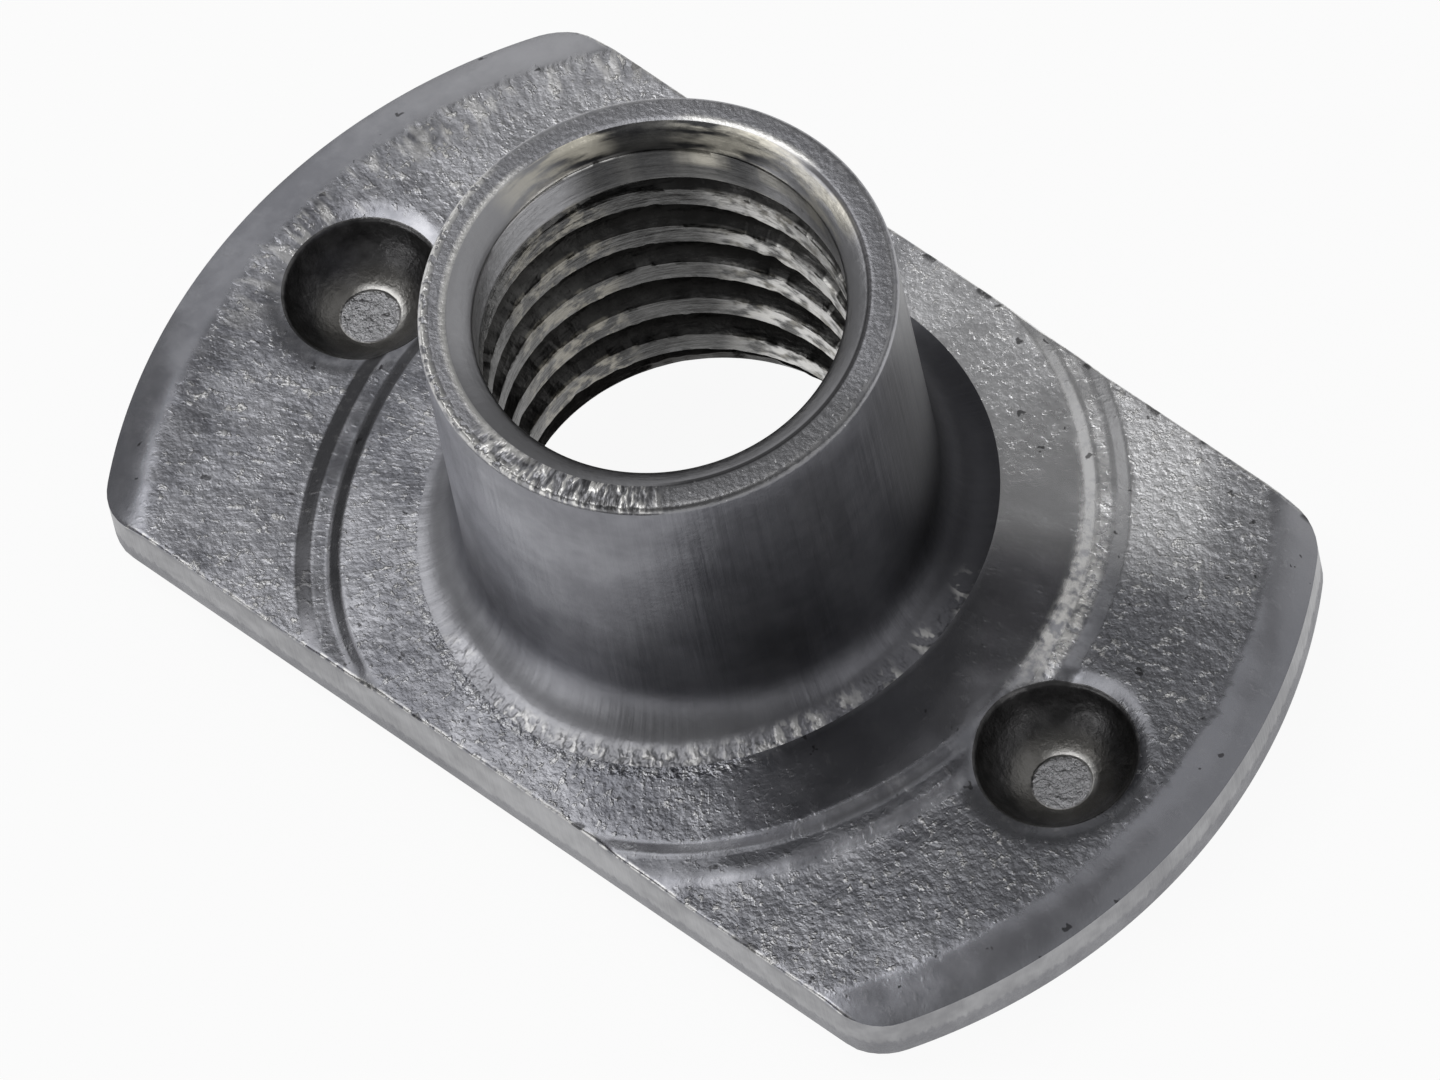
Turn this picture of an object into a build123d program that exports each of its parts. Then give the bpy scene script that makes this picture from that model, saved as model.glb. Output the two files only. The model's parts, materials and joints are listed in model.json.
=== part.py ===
from build123d import *
import os

# A weld nut in one piece: a drawn and tapped collar on a sheet steel plate with two weld projections.
#
# Millimetres. +Z runs up the collar's axis and +X passes through the two projections.
# The origin is on the axis, level with the tips of the projections.

# plate: a disc blanked at its two ends and sheared straight along its two long sides
plate_length = 22.0
plate_width = 12.85
plate_thickness = 1.25
plate_corner_radius = 1.2
end_roll_width = 0.9
end_roll_drop = 0.3

# bore: its wall stands at the crests of an M8 x 1.25 thread
bore_radius = 3.33
countersink_width = 0.425
countersink_depth = 0.28
flare_radius = 1.75

# collar
collar_height = 7.48
collar_wall = 0.95
collar_taper = 0.05
rim_edge_radius = 0.12

# cove round the collar's foot, and the rings that the drawing tool leaves round it
cove_width = 0.97
cove_height = 1.1
ring_width = 1.35
ring_rise = 0.12
inner_step_width = 0.18
inner_step_height = 0.08
band_width = 0.4
band_rise = 0.02
outer_step_width = 0.27
outer_step_height = 0.06

# weld projections below, and the punched wells above them
projection_end_distance = 2.83
projection_height = 0.7
projection_foot_radius = 1.75
projection_tip_radius = 0.85
projection_tip_edge_radius = 0.25
well_mouth_radius = 1.4
well_floor_radius = 0.5
well_depth = 1.05
well_lip_width = 0.12
well_lip_radius = 0.2
well_floor_edge_radius = 0.2

# heights
underside = projection_height
plate_top = underside + plate_thickness
well_floor = plate_top - well_depth
band_foot = plate_top + outer_step_height
band_head = band_foot + band_rise
ring_foot = band_head + inner_step_height
cove_edge = ring_foot + ring_rise
cove_top = cove_edge + cove_height
rim = plate_top + collar_height

# radii, from the bore outwards
rim_radius = bore_radius + collar_wall
collar_foot_radius = rim_radius + collar_taper
cove_edge_radius = collar_foot_radius + cove_width
ring_radius = cove_edge_radius + ring_width
band_inner_radius = ring_radius + inner_step_width
band_outer_radius = band_inner_radius + band_width
outer_step_radius = band_outer_radius + outer_step_width
plate_radius = plate_length / 2
roll_start_radius = plate_radius - end_roll_width
projection_centre = plate_radius - projection_end_distance

with BuildPart() as weld_nut:
    # One section holds the plate, the rings, the cove, the collar and the flared bore.
    with BuildSketch(Plane.XZ):
        with BuildLine():
            Polyline(
                (bore_radius + flare_radius, underside),
                (plate_radius, underside),
                (plate_radius, plate_top - end_roll_drop),
            )
            TangentArc(
                (roll_start_radius, plate_top),
                (plate_radius, plate_top - end_roll_drop),
                tangent=(1, 0),
            )
            Polyline(
                (roll_start_radius, plate_top),
                (outer_step_radius, plate_top),
                (band_outer_radius, band_foot),
                (band_inner_radius, band_head),
                (ring_radius, ring_foot),
                (cove_edge_radius, cove_edge),
            )
            TangentArc(
                (collar_foot_radius, cove_top),
                (cove_edge_radius, cove_edge),
                tangent=(collar_taper, cove_top - rim),
            )
            Polyline(
                (collar_foot_radius, cove_top),
                (rim_radius, rim),
                (bore_radius + countersink_width, rim),
                (bore_radius, rim - countersink_depth),
                (bore_radius, underside + flare_radius),
            )
            RadiusArc(
                (bore_radius, underside + flare_radius),
                (bore_radius + flare_radius, underside),
                radius=-flare_radius,
            )
        make_face()
        rim_corner = vertices().sort_by_distance((rim_radius, rim))[0]
        fillet(rim_corner, radius=rim_edge_radius)
    revolve(axis=Axis.Z)

    # The blank's outline trims the disc and its rings to the plate's width.
    with BuildSketch():
        Circle(plate_radius)
        Rectangle(plate_length, plate_width, mode=Mode.INTERSECT)
        fillet(vertices(), radius=plate_corner_radius)
    extrude(amount=rim, mode=Mode.INTERSECT)

    for centre in (-projection_centre, projection_centre):
        section = Plane(origin=(centre, 0, 0), x_dir=(1, 0, 0), z_dir=(0, -1, 0))
        punch_axis = Axis((centre, 0, 0), (0, 0, 1))

        # A weld projection: a blunt cone with a flat tip, pressed out of the underside.
        with BuildSketch(section):
            with BuildLine():
                Polyline(
                    (0, 0),
                    (projection_tip_radius, 0),
                    (projection_foot_radius, underside),
                    (0, underside),
                    close=True,
                )
            make_face()
            tip_corner = vertices().sort_by_distance((projection_tip_radius, 0))[0]
            fillet(tip_corner, radius=projection_tip_edge_radius)
        revolve(axis=punch_axis)

        # The punch's well above it: a conical wall between an eased floor and an eased lip.
        with BuildSketch(section):
            with BuildLine():
                Polyline(
                    (0, well_floor),
                    (well_floor_radius, well_floor),
                    (well_mouth_radius, plate_top),
                    (well_mouth_radius + well_lip_width, plate_top),
                    (well_mouth_radius + well_lip_width, rim),
                    (0, rim),
                    close=True,
                )
            make_face()
            floor_corner = vertices().sort_by_distance((well_floor_radius, well_floor))[0]
            fillet(floor_corner, radius=well_floor_edge_radius)
            lip_corner = vertices().sort_by_distance((well_mouth_radius, plate_top))[0]
            fillet(lip_corner, radius=well_lip_radius)
        revolve(axis=punch_axis, mode=Mode.SUBTRACT)

weld_nut.part.label = "weld_nut"

os.makedirs("parts", exist_ok=True)
export_step(weld_nut.part, "parts/weld_nut.step")
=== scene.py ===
import json
import math
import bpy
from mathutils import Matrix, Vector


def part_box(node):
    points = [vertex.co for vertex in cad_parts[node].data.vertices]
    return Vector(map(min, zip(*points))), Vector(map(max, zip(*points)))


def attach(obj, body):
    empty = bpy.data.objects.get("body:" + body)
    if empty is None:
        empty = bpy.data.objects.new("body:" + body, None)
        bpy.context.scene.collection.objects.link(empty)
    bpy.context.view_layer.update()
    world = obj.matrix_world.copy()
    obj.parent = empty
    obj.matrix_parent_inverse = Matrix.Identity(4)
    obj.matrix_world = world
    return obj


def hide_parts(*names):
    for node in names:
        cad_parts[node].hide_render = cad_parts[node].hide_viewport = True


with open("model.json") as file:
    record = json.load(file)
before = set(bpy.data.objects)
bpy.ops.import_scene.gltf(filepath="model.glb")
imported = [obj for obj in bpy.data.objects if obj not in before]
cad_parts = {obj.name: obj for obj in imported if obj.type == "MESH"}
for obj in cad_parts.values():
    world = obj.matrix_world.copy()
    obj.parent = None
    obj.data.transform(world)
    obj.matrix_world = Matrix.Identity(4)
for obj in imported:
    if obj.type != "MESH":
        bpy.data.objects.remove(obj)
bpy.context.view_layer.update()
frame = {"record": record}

from types import SimpleNamespace

import bmesh
import bpy
import numpy as np
from mathutils import Matrix, Vector, noise
from mathutils.geometry import delaunay_2d_cdt

# A tab base weld nut in bare steel: a drawn, tapped collar on a pressed plate.
# Blender works in metres. The nut's own sizes below are in millimetres, and MM turns them into metres.
MM = 0.001

# The frame gives the outer sizes and the bore.
node_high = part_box("weld_nut")[1]
plate_radius = node_high.x / MM
half_width = node_high.y / MM
rim = node_high.z / MM
thread_mount = next(m for m in frame["record"]["mounts"] if m["name"] == "thread")
crest_radius = thread_mount["dims"]["r_mm"]
tip_mounts = [m for m in frame["record"]["mounts"] if m["name"].startswith("weld_tip")]
projection_centre = max(m["pos_m"][0] for m in tip_mounts) / MM

# plate
underside = 0.7
plate_top = underside + 1.25
corner_radius = 1.2
strip_offset = 0.1          # the strip was fed this far off the collar's axis
end_roll_width = 0.9
end_roll_drop = 0.3
roll_start = plate_radius - end_roll_width
edge_ease = 0.05
edge_ease_drop = 0.7        # how far the upper face drops at the straight sides, as a share of edge_ease
edge_insets = (0.12, 0.085, 0.055, 0.03, 0.01, 0.0)

# thread
pitch = 1.25
groove_depth = 0.5
crest_flat, root_flat = 0.42, 0.12      # shares of the pitch
thread_fade = (1.75, 1.2)   # the groove runs out between these depths below the rim
flare_radius = 1.75
countersink_radius = 3.755
countersink_depth = 0.28
crest_height = 2.58         # a crest passes this height at crest_angle
crest_angle = math.radians(141)
thread_shake = (0.03, 0.9, 5.0)         # share of a pitch, lumps a millimetre, seed
thread_fine_shake = (0.02, 4.0, 9.0)
nick_depth = 0.012
row_phases = (0.0, 0.11, 0.2, 0.225, 0.33, 0.43, 0.5, 0.57, 0.67, 0.775, 0.8, 0.89)
bore_low = underside + 0.3
bore_high = rim - countersink_depth

# collar and cove
rim_radius = 4.28
rim_edge_radius = 0.12
collar_foot_radius = 4.33
cove_edge_radius = 5.2
cove_edge = plate_top + 0.28
cove_top = cove_edge + 1.1
cove_turn = math.radians(83)

# rings pressed round the cove: radius, height above the plate
ring_radius = 6.65
ring_steps = ((cove_edge_radius, 0.28), (ring_radius, 0.17), (ring_radius + 0.24, 0.07),
              (ring_radius + 0.56, 0.07), (ring_radius + 0.85, -0.01), (ring_radius + 1.1, 0.0))
# in front the die bit less, and the outer step is softer
soft_steps = ring_steps[:3] + ((ring_radius + 0.7, 0.045), (ring_radius + 1.1, 0.0))
soft_share = 0.8
soft_reach = (0.3, 0.8)     # cosines of the angle from the front where the softness starts and is full
front = math.radians(-75)
# The die didn't sit true: how far the cove's edge and the rings stand outside their radius, by degrees round from +X.
cove_wander = ((-165, -0.12), (-120, 0.04), (-80, 0.22), (-15, -0.15), (60, 0.14), (130, 0.0))
ring_wander = ((-165, -0.26), (-120, 0.03), (-60, 0.12), (-18, -0.04), (35, 0.12), (110, 0.0))
wander_end = 1.5            # it dies out over this width, from twice this far inside the plate's radius

# punched wells, the shallow dish that each draws into the plate, and the projections below them
well_hole = 1.5
well_depth = 1.05
well_lip = 1.15             # outside this radius a well's wall follows the plate's face
well_profile = (        # radius, depth
    (1.475, 0.01), (1.45, 0.03), (1.43, 0.06), (1.415, 0.11), (1.39, 0.19), (1.345, 0.31), (1.27, 0.45),
    (1.17, 0.58), (1.05, 0.71), (0.92, 0.83), (0.80, 0.92), (0.70, 0.98), (0.61, 1.02), (0.53, 1.04),
    (0.46, 1.05), (0.34, 1.05), (0.20, 1.05), (0.07, 1.05),
)
dish_radius = 1.85
dish_depth = 0.06
projection_hole = 1.92
projection_profile = (  # radius, height
    (1.84, 0.69), (1.77, 0.66), (1.68, 0.60), (1.54, 0.49), (1.38, 0.365), (1.22, 0.24), (1.08, 0.135),
    (1.00, 0.075), (0.92, 0.03), (0.83, 0.008), (0.72, 0.0), (0.55, 0.0), (0.36, 0.0), (0.20, 0.0), (0.07, 0.0),
)

columns = 400               # points in a row round the nut's axis
well_columns = 112          # points in a row round a well's axis
hole_rings = (0, 0.07, 0.16, 0.27)      # rows round a hole in a face, by distance outside its edge
# a face's rings keep this far from its edges and from the end rolls
clear_outside, clear_inside, clear_hole, clear_roll = 0.07, 0.05, 0.34, 0.3
annulus_rings = (5.32, 5.47, 5.62, 5.77, 5.92, 6.07, 6.22, 6.37, 6.5, 6.6)
step_rings = (0, 0.06, 0.12, 0.18, 0.24, 0.32, 0.4, 0.48, 0.56, 0.63, 0.7, 0.78, 0.85, 0.97, 1.1)
plate_ring_start, plate_ring_step = 7.87, 0.16
roll_shares = (1.0, 0.88, 0.76, 0.64, 0.52, 0.4, 0.3, 0.2)
bottom_ring_start, bottom_ring_end, bottom_ring_step = 5.3, plate_radius - 0.2, 0.3
wall_shares = (0.12, 0.3, 0.5, 0.7, 0.88, 1.0)      # rows down the sheared edge, from the top
sharp_angle = math.radians(42)
angles = np.arange(columns) * 2 * math.pi / columns
well_angles = np.arange(well_columns) * 2 * math.pi / well_columns


def lumps(points, scale, seed):
    """Smooth noise, about -1 to 1, at each point of an array, with lumps about 1 / scale mm across."""
    flat = points.reshape(-1, 3) * scale + seed
    return np.array([noise.noise(Vector(p)) for p in flat]).reshape(points.shape[:-1])


def smooth_step(x, start, end):
    t = np.clip((x - start) / (end - start), 0, 1)
    return t * t * (3 - 2 * t)


# ---- the plate's outline and faces

def outline_reach(inset=0.0):
    """The plate's outline as a distance from the axis at each column: a disc trimmed by two straight sides."""
    disc = plate_radius - inset
    corner = corner_radius - inset
    reach = []
    for a in angles:
        side = half_width - inset + math.copysign(strip_offset, math.sin(a))
        corner_y = side - corner
        corner_x = math.sqrt((disc - corner) ** 2 - corner_y ** 2)
        c, s = abs(math.cos(a)), abs(math.sin(a))
        at = math.atan2(s, c)
        if at <= math.atan2(corner_y, corner_x):
            reach.append(disc)
        elif at >= math.atan2(side, corner_x):
            reach.append(side / s)
        else:
            along = corner_x * c + corner_y * s
            reach.append(along + math.sqrt(along ** 2 - corner_x ** 2 - corner_y ** 2 + corner ** 2))
    return np.array(reach)


def wandered(degrees, knots):
    """A value that passes through the knots on its way once round the axis."""
    at = np.array([k[0] for k in knots] + [knots[0][0] + 360.0])
    values = np.array([k[1] for k in knots] + [knots[0][1]])
    degrees = (np.asarray(degrees) - at[0]) % 360 + at[0]
    k = np.clip(np.searchsorted(at, degrees, side="right") - 1, 0, len(knots) - 1)
    t = (degrees - at[k]) / (at[k + 1] - at[k])
    return values[k] + (values[k + 1] - values[k]) * t * t * (3 - 2 * t)


def wander_at(degrees, reach):
    """How far the cove's wander and the rings' wander each move what lies at a distance from the axis."""
    share = np.clip((reach - cove_edge_radius) / (ring_radius - cove_edge_radius), 0, 1)
    fade = np.clip((plate_radius - wander_end - reach) / wander_end, 0, 1)
    return wandered(degrees, cove_wander) * (1 - share), wandered(degrees, ring_wander) * share * fade


def true_radius(x, y):
    """A point's distance from the axis with the die's wander taken out, on the scale of ring_steps."""
    reach = np.hypot(x, y)
    cove, ring = wander_at(np.degrees(np.arctan2(y, x)), reach)
    return reach - cove - ring


def ring_reach(radius):
    """A ring on the scale of ring_steps, as a distance from the axis at each column, closed in on step by step."""
    degrees = np.degrees(angles)
    reach = np.full(columns, float(radius))
    for _ in range(12):
        cove, ring = wander_at(degrees, reach)
        reach = radius + cove + ring
    return reach


def side_distance(y):
    """How far a point lies inside the nearer straight side."""
    return half_width + np.sign(y) * strip_offset - np.abs(y)


def rolled(t):
    """The end roll's profile from 0 to 1: it bends down early, then falls evenly."""
    return 0.7 * t ** 2 / (t + 0.12) + 0.375 * t ** 2


def top_height(x, y):
    """The plate's upper face: the rings, the end rolls, the eased sides and the dish round each well."""
    reach = true_radius(x, y)
    soft = soft_share * smooth_step(np.cos(np.arctan2(y, x) - front), *soft_reach)
    z = plate_top + (1 - soft) * np.interp(reach, *zip(*ring_steps)) + soft * np.interp(reach, *zip(*soft_steps))
    roll = np.clip((np.hypot(x, y) - plate_radius + end_roll_width) / end_roll_width, 0, 1)
    z -= end_roll_drop * rolled(roll)
    ease = np.clip(1 - side_distance(y) / edge_ease, 0, 1)
    z -= edge_ease * edge_ease_drop * ease ** 2
    from_well = np.hypot(np.abs(x) - projection_centre, y)
    z -= dish_depth * np.clip((dish_radius - from_well) / (dish_radius - well_hole), 0, 1) ** 2
    return z


def bottom_height(x, y):
    """The plate's lower face, eased at the straight sides."""
    ease = np.clip(1 - side_distance(y) / edge_ease, 0, 1)
    return underside + edge_ease * ease ** 2 + 0 * x


# ---- rows of points round the axis

def row(radius, height):
    radius = np.broadcast_to(radius, (columns,))
    height = np.broadcast_to(height, (columns,))
    return np.stack([radius * np.cos(angles), radius * np.sin(angles), height], axis=1)


def face_row(reach, height_at):
    x, y = reach * np.cos(angles), reach * np.sin(angles)
    return np.stack([x, y, height_at(x, y)], axis=1)


def groove(phase):
    """Depth of the thread's groove, 0 at a crest and 1 at a root, for a phase from 0 to 1 up one pitch."""
    from_crest = 0.5 - np.abs(phase - 0.5)
    return np.clip((from_crest - crest_flat / 2) / (0.5 - crest_flat / 2 - root_flat / 2), 0, 1)


def bore_wall(z, phase):
    """The bore's radius: the thread, opened out by the flare below."""
    depth = groove_depth * (1 - smooth_step(z, rim - thread_fade[0], rim - thread_fade[1]))
    thread = crest_radius + depth * groove(phase)
    below = np.clip(underside + flare_radius - z, 0, flare_radius)
    flare = crest_radius + flare_radius - np.sqrt(flare_radius ** 2 - below ** 2)
    return np.maximum(thread, flare)


def bore_rows():
    """Rows that climb with the thread, cut off level at both ends of the bore."""
    start = crest_height - pitch * math.ceil((crest_height - bore_low) / pitch + 1)
    turns = math.ceil((bore_high - start) / pitch) + 1
    climb = pitch * (angles - crest_angle) / (2 * math.pi)
    rows = []
    for turn in range(turns):
        for phase in row_phases:
            z = start + pitch * (turn + phase) + climb
            level = np.clip(z, bore_low, bore_high)
            wall = row(crest_radius, level)
            shaken = phase + (level - z) / pitch
            for share, scale, seed in (thread_shake, thread_fine_shake):
                shaken = shaken + share * lumps(wall, scale, seed)
            nicks = nick_depth * np.clip(lumps(wall, 5.0, 31.0), 0, 1) * smooth_step(level, rim - 1.0, rim - 1.6)
            rows.append(row(bore_wall(level, shaken % 1) + nicks, level))
    return rows


def flare_rows():
    """The rounded flare below the bore, from the underside up to the thread."""
    reach = crest_radius + flare_radius
    turned = math.acos((reach - crest_radius - bore_low + underside) / flare_radius)
    return [row(reach - flare_radius * math.sin(turned * t), underside + flare_radius * (1 - math.cos(turned * t)))
            for t in (0, 0.2, 0.4, 0.6, 0.8)]


def countersink_rows():
    """The shallow countersink at the bore's mouth, from just above its worn lower edge to the rim's land."""
    rows = [row(crest_radius + (countersink_radius - crest_radius) * t ** 1.4, rim - countersink_depth * (1 - t))
            for t in (0.08, 0.18, 0.3, 0.45, 0.6, 0.76, 0.92)]
    return rows + [row(countersink_radius - 0.008, rim - 0.012), row(countersink_radius + 0.015, rim)]


def rim_rows():
    """The rim's land and its rounded outer edge."""
    rows = [row(countersink_radius + land, rim) for land in (0.015, 0.12, 0.23)]
    round_centre = rim_radius - rim_edge_radius
    for t in np.linspace(0, math.pi / 2, 7):
        rows.append(row(round_centre + rim_edge_radius * math.sin(t), rim - rim_edge_radius * (1 - math.cos(t))))
    return rows


def collar_rows():
    """The collar's outside, from the rim's round down to the cove."""
    start = rim - rim_edge_radius
    return [row(rim_radius + (collar_foot_radius - rim_radius) * t, start + (cove_top - start) * t)
            for t in np.linspace(0, 1, 9)[1:]]


def cove_rows():
    """A hollow curve from the collar's foot out to the cove's edge, which is off centre."""
    edge = ring_reach(cove_edge_radius)
    rows = []
    for t in np.linspace(0, 1, 13)[1:]:
        turn = t * cove_turn
        reach = collar_foot_radius + (edge - collar_foot_radius) * (1 - math.cos(turn)) / (1 - math.cos(cove_turn))
        rows.append(row(reach, cove_top - (cove_top - cove_edge) * math.sin(turn) / math.sin(cove_turn)))
    rows[-1] = face_row(edge, top_height)
    return rows


# ---- the nut's skin, gathered piece by piece

corners = []        # points, in millimetres
skin = []           # faces: a tuple of point numbers, and the finish whose material ends in _steel


def add_points(points):
    first = sum(len(c) for c in corners)
    corners.append(np.asarray(points, dtype=float))
    return first


def add_rows(rows, finish):
    """Joins each closed row to the next. All have the same number of points."""
    starts = [add_points(r) for r in rows]
    count = len(rows[0])
    for a, b in zip(starts, starts[1:]):
        for c in range(count):
            d = (c + 1) % count
            skin.append(((a + c, a + d, b + d, b + c), finish))


def add_bore(rows, finish):
    """The bore's rows climb one pitch in a turn, so at the seam each row meets the row one turn above it."""
    starts = [add_points(r) for r in rows]
    last = len(rows) - 1
    for k in range(-len(row_phases), last):
        low, high = max(k, 0), max(k + 1, 0)
        for c in range(columns):
            if c == columns - 1:
                low_next = starts[min(k + len(row_phases), last)]
                high_next = starts[min(k + 1 + len(row_phases), last)]
            elif k >= 0:
                low_next, high_next = starts[low] + c + 1, starts[high] + c + 1
            else:
                continue
            skin.append(((starts[low] + c, low_next, high_next, starts[high] + c), finish))


def flat_ring(reach, turns):
    return np.stack([reach * np.cos(turns), reach * np.sin(turns)], axis=1)


def add_sheet(inner, outer, rings, hole_radius, height_at, finish):
    """A face of the plate between two rows, with a round hole at each end, divided along rings of points."""
    points = [flat_ring(inner, angles), flat_ring(outer, angles)]
    edges = [(start + c, start + (c + 1) % columns) for start in (0, columns) for c in range(columns)]
    holes = (-projection_centre, projection_centre)
    first = 2 * columns
    for centre in holes:
        for outside in hole_rings:
            points.append(flat_ring(hole_radius + outside, well_angles) + (centre, 0))
            if outside == 0:
                edges += [(first + c, first + (c + 1) % well_columns) for c in range(well_columns)]
            first += well_columns
    for reach in rings:
        ring = flat_ring(reach, angles)
        from_hole = np.hypot(np.abs(ring[:, 0]) - projection_centre, ring[:, 1])
        kept = (reach < outer - clear_outside) & (reach > inner + clear_inside)
        kept &= from_hole > hole_radius + clear_hole
        points.append(ring[kept])
        at = np.cumsum(kept) - 1 + first
        pairs = [(c, (c + 1) % columns) for c in range(columns)]
        edges += [(int(at[c]), int(at[d])) for c, d in pairs if kept[c] and kept[d]]
        first += int(kept.sum())
    flat = np.concatenate(points)
    found, _, triangles, came_from, *_ = delaunay_2d_cdt([Vector(p) for p in flat], edges, [], 0, 1e-6)
    found = np.array([flat[min(ids)] if ids else tuple(p) for p, ids in zip(found, came_from)])
    start = add_points(np.column_stack([found, height_at(found[:, 0], found[:, 1])]))
    loops = {}          # which loop each point lies on: 0 for the inner row, 1 and 2 for the holes
    for i, ids in enumerate(came_from):
        n = min(ids)
        if n < columns:
            loops[i] = 0
        elif n >= 2 * columns:
            hole, at = divmod(n - 2 * columns, len(hole_rings) * well_columns)
            if hole < len(holes) and at < well_columns:
                loops[i] = 1 + hole
    for t in triangles:
        around = {loops.get(i) for i in t}
        if len(around) > 1 or None in around:
            skin.append((tuple(start + i for i in t), finish))


def add_dimple(centre, hole_radius, profile, height_at, depths, finish):
    """Rings from a hole in the plate's face to a closed middle. The profile gives a height at each radius, or where
    depths is true a depth below the plate's upper face."""
    def ring(radius):
        return centre + radius * np.cos(well_angles), radius * np.sin(well_angles)

    x, y = ring(hole_radius)
    rows = [np.stack([x, y, height_at(x, y)], axis=1)]
    for radius, value in profile:
        x, y = ring(radius)
        if depths:
            keep = np.clip((radius - well_lip) / (hole_radius - well_lip), 0, 1)
            z = (plate_top - dish_depth) * (1 - keep) + height_at(x, y) * keep - value * (1 - dish_depth / well_depth)
        else:
            z = np.full(well_columns, value)
        rows.append(np.stack([x, y, z], axis=1))
    add_rows(rows, finish)
    middle = add_points([(centre, 0, rows[-1][:, 2].mean())])
    last = middle - well_columns
    for c in range(well_columns):
        skin.append(((last + c, last + (c + 1) % well_columns, middle), finish))


# the bore, the rim and the collar
bore = bore_rows()
add_bore(bore, "threaded")
add_rows([bore[-1], *countersink_rows()], "threaded")
add_rows(rim_rows() + collar_rows() + cove_rows(), "drawn")

# the plate's upper face, from the cove's edge to the outline
outline = [outline_reach(inset) for inset in edge_insets]
plate_rings = np.arange(plate_ring_start, roll_start, plate_ring_step)
rings = [ring_reach(r) for r in (*annulus_rings, *[ring_radius + s for s in step_rings])]
rings += [ring_reach(r) for r in plate_rings if r < roll_start - clear_roll]
rings += [np.full(columns, r) for r in plate_radius - end_roll_width * np.array(roll_shares)]
add_sheet(ring_reach(cove_edge_radius), outline[0], rings, well_hole, top_height, "pressed")
edge_rows = [face_row(reach, top_height) for reach in outline]
add_rows(edge_rows, "pressed")

# the sheared edge
bottom_rows = [face_row(reach, bottom_height) for reach in outline]
wall = [edge_rows[-1] * (1 - t) + bottom_rows[-1] * t for t in wall_shares]
add_rows([edge_rows[-1], *wall], "sheared")

# the underside, with the bore's flare
add_rows(bottom_rows, "underside")
add_rows([*flare_rows(), bore[0]], "underside")
bottom_rings = [np.full(columns, r) for r in np.arange(bottom_ring_start, bottom_ring_end, bottom_ring_step)]
add_sheet(np.full(columns, crest_radius + flare_radius), outline[0], bottom_rings, projection_hole, bottom_height,
          "underside")

for centre in (-projection_centre, projection_centre):
    add_dimple(centre, well_hole, well_profile, top_height, True, "punched")
    add_dimple(centre, projection_hole, projection_profile, bottom_height, False, "underside")


def weld(points, faces):
    """Joins points that lie together, and drops the faces that close up and the points that no face uses."""
    points = np.concatenate(points)
    _, kept, numbers = np.unique(np.round(points, 5), axis=0, return_index=True, return_inverse=True)
    twin = kept[numbers.reshape(-1)]
    welded, seen = [], set()
    for face, finish in faces:
        around = tuple(dict.fromkeys(int(twin[i]) for i in face))
        if len(around) > 2 and frozenset(around) not in seen:
            seen.add(frozenset(around))
            welded.append((around, finish))
    used = sorted({n for around, _ in welded for n in around})
    renumber = {n: i for i, n in enumerate(used)}
    return points[used], [([renumber[n] for n in around], finish) for around, finish in welded]


points, faces = weld(corners, skin)
mesh = bpy.data.meshes.new("nut_skin")
mesh.from_pydata((points * MM).tolist(), [], [face for face, _ in faces])
nut = bpy.data.objects.new("nut_body", mesh)
bpy.context.scene.collection.objects.link(nut)


# ---- finishes: what they share

class Wire:
    """What comes out of a node. A sum, difference, product or quotient of wires adds the node for it."""

    def __init__(self, socket):
        self.socket = socket
        self.tree = socket.id_data

    def __add__(self, other):
        return math_node(self.tree, "ADD", self, other)

    def __sub__(self, other):
        return math_node(self.tree, "SUBTRACT", self, other)

    def __rsub__(self, other):
        return math_node(self.tree, "SUBTRACT", other, self)

    def __mul__(self, other):
        return math_node(self.tree, "MULTIPLY", self, other)

    def __truediv__(self, other):
        return math_node(self.tree, "DIVIDE", self, other)

    def __rtruediv__(self, other):
        return math_node(self.tree, "DIVIDE", other, self)


def feed(socket, value):
    """Links a wire to a socket, or sets a plain value on it."""
    if isinstance(value, Wire):
        value.tree.links.new(value.socket, socket)
    elif value is not None:
        socket.default_value = value


def node(tree, kind, inputs=None, **settings):
    """A new node with its settings, and its inputs fed by name or number."""
    made = tree.nodes.new("ShaderNode" + kind)
    for name, value in settings.items():
        setattr(made, name, value)
    for key, value in (inputs or {}).items():
        feed(made.inputs[key], value)
    return made


def math_node(tree, operation, *values, clamp=False):
    return Wire(node(tree, "Math", dict(enumerate(values)), operation=operation, use_clamp=clamp).outputs[0])


def most(first, *others):
    """The largest of several values."""
    for other in others:
        first = math_node(first.tree, "MAXIMUM", first, other)
    return first


def vector_node(operation, first, second=None):
    made = node(first.tree, "VectorMath", {0: first, "Scale" if operation == "SCALE" else 1: second},
                operation=operation)
    return Wire(made.outputs["Value" if operation in ("LENGTH", "DOT_PRODUCT") else "Vector"])


def split_xyz(vector):
    return [Wire(socket) for socket in node(vector.tree, "SeparateXYZ", {0: vector}).outputs]


def ramp(value, start, end, low=0.0, high=1.0):
    """A value brought smoothly from one range to another."""
    inputs = {"Value": value, "From Min": start, "From Max": end, "To Min": low, "To Max": high}
    return Wire(node(value.tree, "MapRange", inputs, interpolation_type="SMOOTHSTEP").outputs["Result"])


def ring_span(value, start, full, fade, end):
    """1 from full to fade, falling to 0 at start and at end, all counted outward from the first ring's radius."""
    return ramp(value, ring_radius + start, ring_radius + full) * ramp(value, ring_radius + end, ring_radius + fade)


def blend(amount, first, second):
    """A value between two values. At least one of the three is a wire."""
    tree = next(v.tree for v in (amount, first, second) if isinstance(v, Wire))
    return Wire(node(tree, "Mix", {0: amount, 2: first, 3: second}).outputs[0])


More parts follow.
